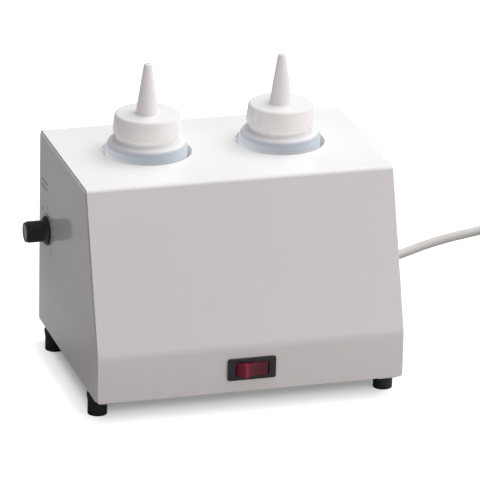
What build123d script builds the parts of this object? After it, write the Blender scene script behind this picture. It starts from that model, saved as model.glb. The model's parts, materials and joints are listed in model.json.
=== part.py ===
from build123d import *
import math
import os

# Two-bottle dry warmer for squeeze bottles, with mains cable and plug, in millimetres.
# +X to the user's right, +Y to the back, +Z up.
# Origin: under the middle of the housing, on the surface the feet stand on.
# Outline tables hold one corner per row: two coordinates, then the radius of the corner.

os.makedirs("parts", exist_ok=True)

# ---------------------------------------------------------------- shared dimensions
HALF_W = 210.0 / 2       # to the outside of a side panel
HALF_D = 156.0 / 2       # to the outside of the front band and of the back sheet
SHEET = 1.0              # steel sheet
GAP = 0.02               # between pieces that touch
SHELL_Z0 = 15.5          # lower edge of the folded cover, level with the top of the base
BASE_Z0 = SHELL_Z0 - SHEET
FLOOR_Z = SHELL_Z0 + GAP  # where pieces stand on the base plate
TOP_Z = 151.5

FOOT_X = 98.2
FOOT_FRONT_Y, FOOT_BACK_Y = -55.5, 58.5
FOOT_HOLE_R = 2.3

CUP_X, CUP_Y = 46.0, 21.5
CUP_R = 29.8             # inside
CUP_OUT_R = CUP_R + 1.0
CUP_FLOOR_Z = 29.4       # inside
CUP_BOTTOM_Z = CUP_FLOOR_Z - 1.2
CUP_RIM_Z = 150.3

BRACKET_T = 1.2
BRACKET_Z = 26.0         # underside of the raised part
BRACKET_Y0, BRACKET_Y1 = -15.5, 58.5
BRACKET_SCREWS = [
    (x, y) for y in (BRACKET_Y0 - 7.5, BRACKET_Y1 + 7.5) for x in (-62, 62)
]

SWITCH_Z = 31.4
KNOB_Y, KNOB_Z = 54.5, 87.5
GLAND_X, GLAND_Z = 76.0, 34.0
GLAND_THREAD_R = 8.0
BLOCK_X, BLOCK_Y = 52.0, -50.0
EARTH_X, EARTH_Y = 82.0, -38.0
CABLE_R = 3.2

COVER_SCREW_X = (-60.0, 60.0)
COVER_SCREW_Z = 20.0
M4_HOLE_R = 2.1
M3_HOLE_R = 1.6
M4_NUT_BORE_R = 2.03
SLOT_HALF_W, SLOT_R = 1.5, 1.49   # cooling slots
SIDES = (("left", -1), ("right", 1))


# ---------------------------------------------------------------- helpers
def save(name, shape):
    """Writes one STEP file. A list becomes a compound of separate solids."""
    if isinstance(shape, list):
        shape = Compound(children=[solid for part in shape for solid in part.solids()])
    export_step(shape, f"parts/{name}.step")


def angle_between(a, b):
    """Angle between two unit vectors, in radians."""
    return math.acos(max(-1, min(1, a.dot(b))))


def rounded_face(outline, to_3d):
    """Face inside a closed outline of (u, v, radius) rows; to_3d maps u, v to a point."""
    count = len(outline)
    points = [Vector(u, v) for u, v, _ in outline]
    corners = []             # start, middle and end of each arc; no middle if sharp
    for i, point in enumerate(points):
        radius = outline[i][2]
        if radius <= 0:
            corners.append((point, None, point))
            continue
        before = (points[i - 1] - point).normalized()
        after = (points[(i + 1) % count] - point).normalized()
        half = angle_between(before, after) / 2
        setback = radius / math.tan(half)
        centre = point + (before + after).normalized() * (radius / math.sin(half))
        middle = centre + (point - centre).normalized() * radius
        corners.append((point + before * setback, middle, point + after * setback))

    def place(point):
        return to_3d(point.X, point.Y)

    edges = []
    for i, (start, middle, end) in enumerate(corners):
        if middle is not None:
            edges.append(ThreePointArc(place(start), place(middle), place(end)).edges()[0])
        next_start = corners[(i + 1) % count][0]
        if (next_start - end).length > 1e-6:
            edges.append(Line(place(end), place(next_start)).edges()[0])
    return Face(Wire(edges))


def prism_x(outline, x0, x1):
    """(y, z, radius) outline extruded from x0 to x1."""
    return extrude(rounded_face(outline, lambda y, z: (x0, y, z)), x1 - x0, dir=(1, 0, 0))


def prism_y(outline, y0, y1):
    """(x, z, radius) outline extruded from y0 to y1."""
    return extrude(rounded_face(outline, lambda x, z: (x, y0, z)), y1 - y0, dir=(0, 1, 0))


def prism_z(outline, z0, z1):
    """(x, y, radius) outline extruded from z0 to z1."""
    return extrude(rounded_face(outline, lambda x, y: (x, y, z0)), z1 - z0, dir=(0, 0, 1))


def turned_x(outline, y, z):
    """(distance from axis, x, radius) outline turned about the line along X at (y, z)."""
    face = rounded_face(outline, lambda r, x: (x, y + r, z))
    return revolve(face, Axis((0, y, z), (1, 0, 0)), 360)


def turned_y(outline, x, z):
    """(distance from axis, y, radius) outline turned about the line along Y at (x, z)."""
    face = rounded_face(outline, lambda r, y: (x + r, y, z))
    return revolve(face, Axis((x, 0, z), (0, 1, 0)), 360)


def turned_z(outline, x=0.0, y=0.0):
    """(distance from axis, z, radius) outline turned about the vertical at (x, y)."""
    face = rounded_face(outline, lambda r, z: (r, 0, z))
    return Pos(x, y, 0) * revolve(face, Axis.Z, 360)


def rect(u0, v0, u1, v1, radius):
    return [(u0, v0, radius), (u1, v0, radius), (u1, v1, radius), (u0, v1, radius)]


def hexagon(across_flats, radius):
    reach = across_flats / math.sqrt(3)
    angles = [math.radians(60 * k) for k in range(6)]
    return [(reach * math.cos(a), reach * math.sin(a), radius) for a in angles]


def cyl_x(y, z, radius, x0, x1):
    return Pos((x0 + x1) / 2, y, z) * Rot(0, 90, 0) * Cylinder(radius, abs(x1 - x0))


def cyl_y(x, z, radius, y0, y1):
    return Pos(x, (y0 + y1) / 2, z) * Rot(90, 0, 0) * Cylinder(radius, abs(y1 - y0))


def cyl_z(x, y, radius, z0, z1):
    return Pos(x, y, (z0 + z1) / 2) * Cylinder(radius, abs(z1 - z0))


def box(x0, y0, z0, x1, y1, z1):
    middle = Pos((x0 + x1) / 2, (y0 + y1) / 2, (z0 + z1) / 2)
    return middle * Box(abs(x1 - x0), abs(y1 - y0), abs(z1 - z0))


def ring_z(x, y, r_in, r_out, z0, z1):
    return cyl_z(x, y, r_out, z0, z1) - cyl_z(x, y, r_in, z0 - 1, z1 + 1)


def nut_z(x, y, across_flats, z0, z1, bore_r, corner_r=0.3):
    nut = Pos(x, y, 0) * prism_z(hexagon(across_flats, corner_r), z0, z1)
    return nut - cyl_z(x, y, bore_r, z0 - 1, z1 + 1)


def screw_head(radius, height, edge_r, slot_length, slot_width, slot_depth):
    """Cross-slot head below the origin, rounded at its lower edge."""
    head = Pos(0, 0, -height / 2) * Cylinder(radius, height)
    rim = head.edges().filter_by(GeomType.CIRCLE).sort_by(Axis.Z)[0]
    head = fillet(rim, edge_r)
    cross = Box(slot_length, slot_width, slot_depth) + Box(slot_width, slot_length, slot_depth)
    return head - Pos(0, 0, -height) * cross


def pan_screw(x, y, seat_z, length, diameter, head_r, head_h):
    """Upright pan-head screw, head below seat_z and shank above."""
    head = screw_head(head_r, head_h, head_h * 0.45, diameter, diameter * 0.22, head_h * 0.9)
    shank = Pos(0, 0, length / 2) * Cylinder(diameter / 2, length)
    return Pos(x, y, seat_z) * (head + shank)


def tube(points, bends, radius):
    """Round cable or wire in straight runs; bends gives a radius for each inner point."""
    points = [Vector(*point) for point in points]
    start = points[0]
    body = None
    for i in range(1, len(points)):
        last = i == len(points) - 1
        along = (points[i] - points[i - 1]).normalized()
        setback = 0
        if not last:
            bend_r = bends[i - 1]
            onward = (points[i + 1] - points[i]).normalized()
            turn = angle_between(along, onward)
            setback = bend_r * math.tan(turn / 2)
        stop = points[i] - along * setback
        section = Plane(origin=start, z_dir=along) * Circle(radius)
        run = extrude(section, (stop - start).length)
        body = run if body is None else body + run
        if not last:
            inward = (onward - along * along.dot(onward)).normalized()
            axis = Axis(stop + inward * bend_r, along.cross(onward))
            section = Plane(origin=stop, z_dir=along) * Circle(radius)
            body = body + revolve(section, axis, math.degrees(turn))
            start = points[i] + onward * setback
    return body


def spin_z(shape, x, y, degrees):
    """Turns a shape about the vertical line at (x, y)."""
    return Pos(x, y, 0) * Rot(0, 0, degrees) * Pos(-x, -y, 0) * shape


# ---------------------------------------------------------------- folded cover: front, top, back
COVER_HALF_W = 104.0
BEND_Z = 46.5            # bend between upright band and sloping front
TOP_FRONT_Y = -44.0      # where the sloping front would meet the top
BEND_R, TOP_EDGE_R = 14.0, 3.2   # outside radii
COVER_CORNER_R = 1.6     # lower corners of the front and back sheets
CUP_HOLE_R = 30.0


def cover_outline(inset, z0, radii):
    """(y, z, radius) side view, moved inwards by inset, open end at z0."""
    slope = math.atan2(TOP_FRONT_Y + HALF_D, TOP_Z - BEND_Z)
    shift = inset / math.cos(slope)      # of the sloping line along Y
    front, back = -HALF_D + inset, HALF_D - inset
    top = TOP_Z - inset
    bend_z = BEND_Z + (inset - shift) / math.tan(slope)
    top_front_y = -HALF_D + (top - BEND_Z) * math.tan(slope) + shift
    corners = [(front, z0), (front, bend_z), (top_front_y, top), (back, top), (back, z0)]
    return [(y, z, radius) for (y, z), radius in zip(corners, radii)]


def folded_cover():
    outer = prism_x(
        cover_outline(0, SHELL_Z0, [0, BEND_R, TOP_EDGE_R, TOP_EDGE_R, 0]),
        -COVER_HALF_W, COVER_HALF_W,
    )
    inner_radii = [0, BEND_R - SHEET, TOP_EDGE_R - SHEET, TOP_EDGE_R - SHEET, 0]
    inner = prism_x(
        cover_outline(SHEET, SHELL_Z0 - 5, inner_radii), -COVER_HALF_W - 1, COVER_HALF_W + 1
    )
    cover = outer - inner
    for _, side in SIDES:
        edge_x = side * COVER_HALF_W
        centre_x = edge_x - side * COVER_CORNER_R
        centre_z = SHELL_Z0 + COVER_CORNER_R
        for y0, y1 in (
            (-HALF_D - 1, -HALF_D + SHEET + 1),
            (HALF_D - SHEET - 1, HALF_D + 1),
        ):
            corner = box(edge_x, y0, SHELL_Z0, centre_x, y1, centre_z)
            corner = corner - cyl_y(centre_x, centre_z, COVER_CORNER_R, y0 - 1, y1 + 1)
            cover = cover - corner
        cover = cover - cyl_z(side * CUP_X, CUP_Y, CUP_HOLE_R, TOP_Z - 6, TOP_Z + 6)
    # switch opening in the front, then the cable gland hole in the back
    cover = cover - box(-14.2, -HALF_D - 2, SWITCH_Z - 6.1, 14.2, -HALF_D + 3, SWITCH_Z + 6.1)
    cover = cover - cyl_y(GLAND_X, GLAND_Z, GLAND_THREAD_R + 0.1, HALF_D - 4, HALF_D + 4)
    # row of cooling slots high on the back
    for k in range(9):
        x = -48 + k * 12
        slot = rect(x - SLOT_HALF_W, 122, x + SLOT_HALF_W, 140, SLOT_R)
        cover = cover - prism_y(slot, HALF_D - 4, HALF_D + 4)
    for x in COVER_SCREW_X:
        cover = cover - cyl_y(x, COVER_SCREW_Z, 1.8, HALF_D - 4, HALF_D + 4)
    return cover


save("folded_cover", folded_cover())

# ---------------------------------------------------------------- side panels
FLANGE = 14.0            # width of the inward flange
FOLD_R = 1.2             # outside fold radius
PANEL_INSET = SHEET + 0.15   # leaves a gap between folded cover and flanges
PANEL_RADII = [2.6, 12.8, 2.1, 2.1, 2.6]


def left_panel():
    """Shallow pan that opens towards +X."""
    outline = cover_outline(PANEL_INSET, SHELL_Z0, PANEL_RADII)
    body = prism_x(outline, -HALF_W, -HALF_W + FLANGE)
    body = fillet(body.faces().sort_by(Axis.X)[0].edges(), FOLD_R)
    outline = cover_outline(
        PANEL_INSET + SHEET, SHELL_Z0 + SHEET, [radius - SHEET for radius in PANEL_RADII]
    )
    cavity = prism_x(outline, -HALF_W + SHEET, -HALF_W + FLANGE + 1)
    cavity = fillet(cavity.faces().sort_by(Axis.X)[0].edges(), 0.4)
    return body - cavity


def side_panel(side):
    panel = left_panel()
    if side < 0:
        # hole for the thermostat bush
        panel = panel - cyl_x(KNOB_Y, KNOB_Z, 4.15, -HALF_W - 2, -HALF_W + 3)
    for y in (FOOT_FRONT_Y, FOOT_BACK_Y):
        panel = panel - cyl_z(-FOOT_X, y, FOOT_HOLE_R, SHELL_Z0 - 2, SHELL_Z0 + 3)
    return panel if side < 0 else mirror(panel, about=Plane.YZ)


for name, side in SIDES:
    save(f"side_panel_{name}", side_panel(side))

# ---------------------------------------------------------------- base plate
BASE_HALF_W, BASE_HALF_D = 102.0, 76.8
LIP_HALF_W = 88.0
LIP_TOP_Z = 24.0


def base_hole(x, y, radius):
    return cyl_z(x, y, radius, BASE_Z0 - 2, BASE_Z0 + 3)


def base_plate():
    base = prism_z(
        rect(-BASE_HALF_W, -BASE_HALF_D, BASE_HALF_W, BASE_HALF_D, 3.0), BASE_Z0, SHELL_Z0
    )
    # upturned lips along the front and back edges
    for side in (-1, 1):
        outer, inner, root = (side * (BASE_HALF_D - depth) for depth in (0, SHEET, 6))
        lip = prism_x(
            [
                (outer, BASE_Z0, 1.6), (outer, LIP_TOP_Z, 0), (inner, LIP_TOP_Z, 0),
                (inner, SHELL_Z0, 0.6), (root, SHELL_Z0, 0), (root, BASE_Z0, 0),
            ],
            -LIP_HALF_W, LIP_HALF_W,
        )
        edge = box(
            -LIP_HALF_W, outer, BASE_Z0 - 1, LIP_HALF_W, side * (BASE_HALF_D - 5), BASE_Z0 + 2
        )
        base = (base - edge) + lip
    for x in (-FOOT_X, FOOT_X):
        for y in (FOOT_FRONT_Y, FOOT_BACK_Y):
            base = base - base_hole(x, y, FOOT_HOLE_R)
    for x, y in BRACKET_SCREWS:
        base = base - base_hole(x, y, M4_HOLE_R)
    base = base - base_hole(BLOCK_X, BLOCK_Y, M3_HOLE_R)
    base = base - base_hole(EARTH_X, EARTH_Y, M4_HOLE_R)
    # two rows of cooling slots
    for k in range(7):
        x = -60 + k * 20
        for y in (0.0, 42.0):
            slot = rect(x - SLOT_HALF_W, y - 9, x + SLOT_HALF_W, y + 9, SLOT_R)
            base = base - prism_z(slot, BASE_Z0 - 2, BASE_Z0 + 3)
    for x in COVER_SCREW_X:
        base = base - cyl_y(x, COVER_SCREW_Z, 1.3, BASE_HALF_D - 4, BASE_HALF_D + 4)
    return base


def cover_screw(x):
    """Screw through the back sheet into the back lip, head outside."""
    head = screw_head(3.3, 2.0, 1.1, slot_length=3.6, slot_width=0.8, slot_depth=2.0)
    shank = Pos(0, 0, 3.9) * Cylinder(1.25, 8.0)
    return Pos(x, HALF_D + GAP, COVER_SCREW_Z) * Rot(90, 0, 0) * (head + shank)


save("base_plate", base_plate())
save("cover_screws", [cover_screw(x) for x in COVER_SCREW_X])

# ---------------------------------------------------------------- feet and their fasteners
FOOT_R, FOOT_TOP_R = 6.5, 7.1
FOOT_TOP_Z = BASE_Z0 - GAP
FOOT_BORE_R = 4.3        # recess for the screw head
FOOT_SEAT_Z = 7.0        # top of the recess
WASHER_Z0 = 6.2
FOOT_PLACES = {
    "front_left": (-FOOT_X, FOOT_FRONT_Y),
    "front_right": (FOOT_X, FOOT_FRONT_Y),
    "back_left": (-FOOT_X, FOOT_BACK_Y),
    "back_right": (FOOT_X, FOOT_BACK_Y),
}
FOOT_OUTLINE = [
    (FOOT_HOLE_R, FOOT_SEAT_Z, 0), (FOOT_BORE_R, FOOT_SEAT_Z, 0), (FOOT_BORE_R, 0.0, 0.4),
    (FOOT_R, 0.0, 0), (FOOT_R, 9.0, 2.0), (FOOT_TOP_R, 12.6, 1.5),
    (FOOT_TOP_R, FOOT_TOP_Z, 0.4), (FOOT_HOLE_R, FOOT_TOP_Z, 0),
]

foot_screws, foot_washers, foot_nuts = [], [], []
for name, (x, y) in FOOT_PLACES.items():
    save(f"foot_{name}", turned_z(FOOT_OUTLINE, x, y))
    foot_washers.append(ring_z(x, y, 2.15, 4.2, WASHER_Z0, FOOT_SEAT_Z - GAP))
    foot_screws.append(
        pan_screw(x, y, WASHER_Z0 - GAP, length=15.5, diameter=4.0, head_r=3.6, head_h=2.6)
    )
    foot_nuts.append(
        ring_z(x, y, M4_NUT_BORE_R, 4.0, SHELL_Z0 + SHEET + GAP, SHELL_Z0 + SHEET + 3.4)
    )
save("foot_screws_and_washers", foot_screws + foot_washers)
save("foot_rivet_nuts", foot_nuts)

# ---------------------------------------------------------------- bracket that carries the cups
BRACKET_HALF_W = 82.0
BRACKET_FOOT = 14.0      # length of the feet in front and behind
BRACKET_TOP_Z = BRACKET_Z + BRACKET_T
BRACKET_FOOT_Z = FLOOR_Z + BRACKET_T
BRACKET_OUTLINE = [
    (BRACKET_Y0 - BRACKET_FOOT, FLOOR_Z, 0), (BRACKET_Y0 - BRACKET_FOOT, BRACKET_FOOT_Z, 0),
    (BRACKET_Y0, BRACKET_FOOT_Z, 0.8), (BRACKET_Y0, BRACKET_TOP_Z, 2.0),
    (BRACKET_Y1, BRACKET_TOP_Z, 2.0), (BRACKET_Y1, BRACKET_FOOT_Z, 0.8),
    (BRACKET_Y1 + BRACKET_FOOT, BRACKET_FOOT_Z, 0), (BRACKET_Y1 + BRACKET_FOOT, FLOOR_Z, 0),
    (BRACKET_Y1 - BRACKET_T, FLOOR_Z, 2.0), (BRACKET_Y1 - BRACKET_T, BRACKET_Z, 0.8),
    (BRACKET_Y0 + BRACKET_T, BRACKET_Z, 0.8), (BRACKET_Y0 + BRACKET_T, FLOOR_Z, 2.0),
]


def cup_bracket():
    bracket = prism_x(BRACKET_OUTLINE, -BRACKET_HALF_W, BRACKET_HALF_W)
    for _, side in SIDES:
        bracket = bracket - cyl_z(side * CUP_X, CUP_Y, 2.8, BRACKET_Z - 3, BRACKET_Z + 4)
    for x, y in BRACKET_SCREWS:
        bracket = bracket - cyl_z(x, y, M4_HOLE_R, SHELL_Z0 - 2, SHELL_Z0 + 4)
    # air hole between the cups
    return bracket - cyl_z(0, CUP_Y, 5.0, BRACKET_Z - 3, BRACKET_Z + 4)


save("cup_bracket", cup_bracket())

# ---------------------------------------------------------------- warming cups, heaters, insulation
CUP_STUD_R = 2.5
CUP_FLANGE_R = CUP_OUT_R + 4.0
HEATER_R = CUP_OUT_R + 0.05    # inside
HEATER_Z0, HEATER_Z1 = 42.0, 102.0
EAR_X = 7.5              # half the gap in the heater
EAR_Y = math.sqrt(HEATER_R**2 - EAR_X**2)
CLAMP_Y = CUP_Y + EAR_Y + 8.2
CLAMP_Z = (HEATER_Z0 + 11, HEATER_Z1 - 11)
CUP_OUTLINE = [
    (0, CUP_BOTTOM_Z, 0), (CUP_OUT_R, CUP_BOTTOM_Z, 4.0), (CUP_OUT_R, CUP_RIM_Z - 1.0, 0.6),
    (CUP_FLANGE_R, CUP_RIM_Z - 1.0, 0.3), (CUP_FLANGE_R, CUP_RIM_Z, 0.3),
    (CUP_R, CUP_RIM_Z, 1.2), (CUP_R, CUP_FLOOR_Z, 3.0), (0, CUP_FLOOR_Z, 0),
]


def warming_cup(x):
    """Cup with a stud under its floor."""
    stud = cyl_z(x, CUP_Y, CUP_STUD_R, 18.2, CUP_BOTTOM_Z + 0.4)
    return turned_z(CUP_OUTLINE, x, CUP_Y) + stud


def heater_band(x):
    """Flat heater round the cup, open at the back, with ears for the clamp screws."""
    band = ring_z(x, CUP_Y, HEATER_R, HEATER_R + 1.6, HEATER_Z0, HEATER_Z1)
    band = band - box(
        x - EAR_X, CUP_Y + 10, HEATER_Z0 - 1, x + EAR_X, CUP_Y + 50, HEATER_Z1 + 1
    )
    for _, side in SIDES:
        ear_x = x + side * EAR_X
        for z in CLAMP_Z:
            band = band + box(
                ear_x, CUP_Y + EAR_Y + 0.4, z - 5, ear_x + side, CLAMP_Y + 2.2, z + 5
            )
    for z in CLAMP_Z:
        band = band - cyl_x(CLAMP_Y, z, 1.15, x - 12, x + 12)
    return band


def insulation(x):
    """Sleeve round the heater, open at the back."""
    sleeve = ring_z(x, CUP_Y, HEATER_R + 1.7, 36.0, 34.0, 140.0)
    return sleeve - box(x - 12, CUP_Y + 10, 33, x + 12, CUP_Y + 50, 141)


clamp_screws, clamp_nuts, cup_washers, cup_nuts = [], [], [], []
for name, side in SIDES:
    x = side * CUP_X
    save(f"warming_cup_{name}", warming_cup(x))
    save(f"cup_pad_{name}", ring_z(x, CUP_Y, 3.0, 25.0, BRACKET_TOP_Z + GAP, CUP_BOTTOM_Z - GAP))
    save(f"heater_band_{name}", heater_band(x))
    save(f"insulation_{name}", insulation(x))
    for z in CLAMP_Z:
        shank = cyl_x(CLAMP_Y, z, 1.0, x - 10.5, x + 9.6)
        clamp_screws.append(shank + cyl_x(CLAMP_Y, z, 1.9, x + 8.55, x + 10.4))
        nut = nut_z(0, 0, 4.0, -0.8, 0.8, bore_r=1.03, corner_r=0.2)
        clamp_nuts.append(Pos(x - 9.4, CLAMP_Y, z) * Rot(0, 90, 0) * nut)
    cup_washers.append(ring_z(x, CUP_Y, 2.65, 6.5, BRACKET_Z - 1.02, BRACKET_Z - GAP))
    cup_nuts.append(
        nut_z(x, CUP_Y, 8.0, BRACKET_Z - 5.1, BRACKET_Z - 1.04, CUP_STUD_R + 0.03)
    )
save("heater_clamp_fasteners", clamp_screws + clamp_nuts)
save("cup_nuts_and_washers", cup_washers + cup_nuts)

# ---------------------------------------------------------------- squeeze bottles, caps, seals
BOTTLE_R = 27.0
BOTTLE_IN_R = BOTTLE_R - 1.0
BOTTLE_Z0 = 29.5
SHOULDER_Z = 156.0       # top of the straight wall
BEAD_Z, BEAD_R = 161.6, 20.6     # bead below the neck
NECK_R, NECK_IN_R = 17.6, 16.0
NECK_TOP_Z = 175.4
CAP_Z0, CAP_TOP_Z = 164.6, 178.0
CAP_CEILING_Z = CAP_TOP_Z - 1.6
CAP_R0, CAP_R1 = 22.8, 21.5      # outside, at the bottom and at the top
CAP_IN_R = 19.4
SPOUT_TOP_Z = 212.0
SPOUT_R0, SPOUT_R1 = 7.1, 2.6    # at the root and at the tip
THREAD_PITCH = 4.23
THREAD_TURNS = 1.2
THREAD_Z0 = BEAD_Z + 5.2
BOTTLE_OUTLINE = [
    # outside, from the raised middle of the bottom to the mouth
    (0, BOTTLE_Z0 + 2.0, 0), (BOTTLE_R - 9, BOTTLE_Z0 + 2.0, 1.0),
    (BOTTLE_R - 6, BOTTLE_Z0, 1.0), (BOTTLE_R, BOTTLE_Z0, 3.0),
    (BOTTLE_R, SHOULDER_Z, 1.6), (BOTTLE_R - 1.5, SHOULDER_Z + 2.7, 0.9),
    (BEAD_R + 0.4, BEAD_Z, 0), (BEAD_R, BEAD_Z, 0), (BEAD_R, BEAD_Z + 2.2, 0.7),
    (NECK_R, BEAD_Z + 2.2, 0.5), (NECK_R, NECK_TOP_Z, 0.4),
    # inside, back down
    (NECK_IN_R, NECK_TOP_Z, 0.4), (NECK_IN_R, BEAD_Z + 0.4, 1.0), (BEAD_R, BEAD_Z - 1.2, 0.8),
    (BOTTLE_IN_R - 1.3, SHOULDER_Z + 2.0, 0.6), (BOTTLE_IN_R, SHOULDER_Z - 0.6, 1.2),
    (BOTTLE_IN_R, BOTTLE_Z0 + 1.2, 2.0), (BOTTLE_R - 6.3, BOTTLE_Z0 + 1.2, 0.8),
    (BOTTLE_R - 9.3, BOTTLE_Z0 + 3.2, 0.8), (0, BOTTLE_Z0 + 3.2, 0),
]
CAP_OUTLINE = [
    (CAP_IN_R, CAP_Z0, 0.3), (CAP_R0 - 1.2, CAP_Z0, 0.5), (CAP_R0, CAP_Z0 + 1.4, 0.7),
    (CAP_R1, CAP_TOP_Z, 2.6), (SPOUT_R0 + 0.5, CAP_TOP_Z, 2.2), (SPOUT_R1, SPOUT_TOP_Z, 0.9),
    (1.0, SPOUT_TOP_Z, 0), (1.2, SPOUT_TOP_Z - 6, 2.0), (5.4, CAP_CEILING_Z, 0.8),
    (CAP_IN_R, CAP_CEILING_Z, 0.8),
]


def thread(root_r, crest_r, root_width, crest_width, z0):
    """One right-handed helical ridge about the Z axis."""
    path = Helix(THREAD_PITCH, THREAD_PITCH * THREAD_TURNS, root_r)
    section = [
        (root_r, -root_width / 2, 0), (crest_r, -crest_width / 2, 0),
        (crest_r, crest_width / 2, 0), (root_r, root_width / 2, 0),
    ]
    face = rounded_face(section, lambda r, z: (r, 0, z))
    return Pos(0, 0, z0) * sweep(face, path=path, is_frenet=True)


bottle = turned_z(BOTTLE_OUTLINE) + thread(NECK_R - 0.15, NECK_R + 1.15, 2.2, 1.2, THREAD_Z0)
cap = turned_z(CAP_OUTLINE) + thread(
    CAP_IN_R + 0.15, CAP_IN_R - 1.25, 2.1, 1.1, THREAD_Z0 + THREAD_PITCH / 2
)
seal = ring_z(0, 0, 16.2, 18.4, NECK_TOP_Z + 0.05, CAP_CEILING_Z - 0.05)
for name, side in SIDES:
    place = Pos(side * CUP_X, CUP_Y, 0)
    save(f"bottle_{name}", place * bottle)
    save(f"bottle_cap_{name}", place * cap)
    save(f"cap_seal_{name}", place * seal)

# ---------------------------------------------------------------- illuminated rocker switch
BEZEL_HALF_W, BEZEL_HALF_H = 32.7 / 2, 15.1 / 2
BEZEL_FRONT_Y = -HALF_D - 1.8
PIVOT_Y = BEZEL_FRONT_Y + 5.7    # the rocker turns about a vertical line at x = 0
WINDOW_HALF_H = 4.7
ROCKER_HALF_H = 9.0 / 2
ROCKER_R = 12.2          # curved ends, about the pivot
ROCKER_TIP_DEG, ROCKER_LOW_DEG = 42.0, 80.0   # front and rear limits of the curved ends
ROCKER_TILT = 12.5       # from the middle position
CONTACT_Y = PIVOT_Y + 9.75
CONTACT_TILT = -7.0
TAB_X = (-9.0, 0.0, 9.0)
TAB_BACK_Y = -HALF_D + 29.5
TAB_HALF_H = 3.15


def switch_housing():
    bezel = prism_y(
        rect(-BEZEL_HALF_W, SWITCH_Z - BEZEL_HALF_H, BEZEL_HALF_W, SWITCH_Z + BEZEL_HALF_H, 1.4),
        BEZEL_FRONT_Y, -HALF_D - GAP,
    )
    bezel = fillet(bezel.faces().sort_by(Axis.Y)[0].edges(), 0.7)
    housing = bezel + prism_y(
        rect(-13.9, SWITCH_Z - 5.9, 13.9, SWITCH_Z + 5.9, 0.6), -HALF_D - 0.1, -HALF_D + 20
    )
    # window in the bezel, then the wider chamber behind it
    for half_w, y0, y1 in (
        (11.5, BEZEL_FRONT_Y - 1, BEZEL_FRONT_Y + 1.0),
        (12.6, BEZEL_FRONT_Y + 0.9, -HALF_D + 18.6),
    ):
        housing = housing - box(
            -half_w, y0, SWITCH_Z - WINDOW_HALF_H, half_w, y1, SWITCH_Z + WINDOW_HALF_H
        )
    for _, side in SIDES:
        # spring catches behind the sheet
        catch = [
            (side * 13.5, -HALF_D + 1.3, 0), (side * 15.2, -HALF_D + 1.3, 0.2),
            (side * 13.5, -HALF_D + 7, 0),
        ]
        housing = housing + prism_z(catch, SWITCH_Z - 3, SWITCH_Z + 3)
    for side in (-1, 1):
        # bores for the rocker's pivot pins
        housing = housing - cyl_z(0, PIVOT_Y, 1.05, SWITCH_Z + side * 4.6, SWITCH_Z + side * 5.5)
    for x in TAB_X:
        housing = housing - box(
            x - 0.45, -HALF_D + 18, SWITCH_Z - 3.2, x + 0.45, -HALF_D + 21, SWITCH_Z + 3.2
        )
    return housing


def level_rocker():
    """Rocker in its middle position: curved ends, hollow face between two tips."""
    z = SWITCH_Z - ROCKER_HALF_H
    heel_y = PIVOT_Y + 5.0

    def on_end(degrees, side):
        angle = math.radians(degrees)
        return (side * ROCKER_R * math.sin(angle), PIVOT_Y - ROCKER_R * math.cos(angle), z)

    low, tip = ROCKER_LOW_DEG, ROCKER_TIP_DEG
    middle = (low + tip) / 2
    curves = [
        ThreePointArc(on_end(low, -1), on_end(middle, -1), on_end(tip, -1)),
        ThreePointArc(on_end(tip, -1), (0, PIVOT_Y - 7.3, z), on_end(tip, 1)),
        ThreePointArc(on_end(tip, 1), on_end(middle, 1), on_end(low, 1)),
        Line(on_end(low, 1), (4.6, heel_y, z)),
        Line((4.6, heel_y, z), (-4.6, heel_y, z)),
        Line((-4.6, heel_y, z), on_end(low, -1)),
    ]
    face = Face(Wire([curve.edges()[0] for curve in curves]))
    body = extrude(face, 2 * ROCKER_HALF_H, dir=(0, 0, 1))
    tips = [e for e in body.edges().filter_by(Axis.Z) if e.center().Y < PIVOT_Y - 8.5]
    body = fillet(tips, 0.8)
    faces = body.faces().sort_by(Axis.Z)
    body = fillet(faces[0].edges() + faces[-1].edges(), 0.35)
    # pivot pins
    for side in (-1, 1):
        body = body + cyl_z(0, PIVOT_Y, 0.98, SWITCH_Z + side * 4.0, SWITCH_Z + side * 5.3)
    # pockets for the lamp and the plunger
    body = body - box(-7.2, PIVOT_Y - 3.7, SWITCH_Z - 2.6, 7.2, PIVOT_Y - 0.5, SWITCH_Z + 2.6)
    return body - cyl_y(0, SWITCH_Z, 1.7, PIVOT_Y + 2.0, PIVOT_Y + 6.0)


def level_plunger():
    """Pin along Y with its rounded tip at the back."""
    pin = turned_z([(0, 0, 0), (1.55, 0, 1.5), (1.55, 6.2, 0), (0, 6.2, 0)])
    return Pos(0, PIVOT_Y + 9.0, SWITCH_Z) * Rot(90, 0, 0) * pin


def contact_lever():
    blade = box(-7.6, CONTACT_Y - 0.25, SWITCH_Z - 2.2, 7.6, CONTACT_Y + 0.25, SWITCH_Z + 2.2)
    blade = blade + cyl_y(6.4, SWITCH_Z, 1.3, CONTACT_Y + 0.2, CONTACT_Y + 0.9)
    return spin_z(blade, 0, CONTACT_Y, CONTACT_TILT)


def switch_terminal(x):
    """Upright tab; the middle one reaches further forward, the right one has a contact pad."""
    front = CONTACT_Y + (0.75 if x == 0 else 2.4)
    tab = box(x - 0.4, front, SWITCH_Z - TAB_HALF_H, x + 0.4, TAB_BACK_Y, SWITCH_Z + TAB_HALF_H)
    if x > 0:
        tab = tab + box(5.0, CONTACT_Y + 1.95, SWITCH_Z - 2.5, 9.4, front + 0.8, SWITCH_Z + 2.5)
    return tab - cyl_x(-HALF_D + 26, SWITCH_Z, 0.9, x - 2, x + 2)


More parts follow.
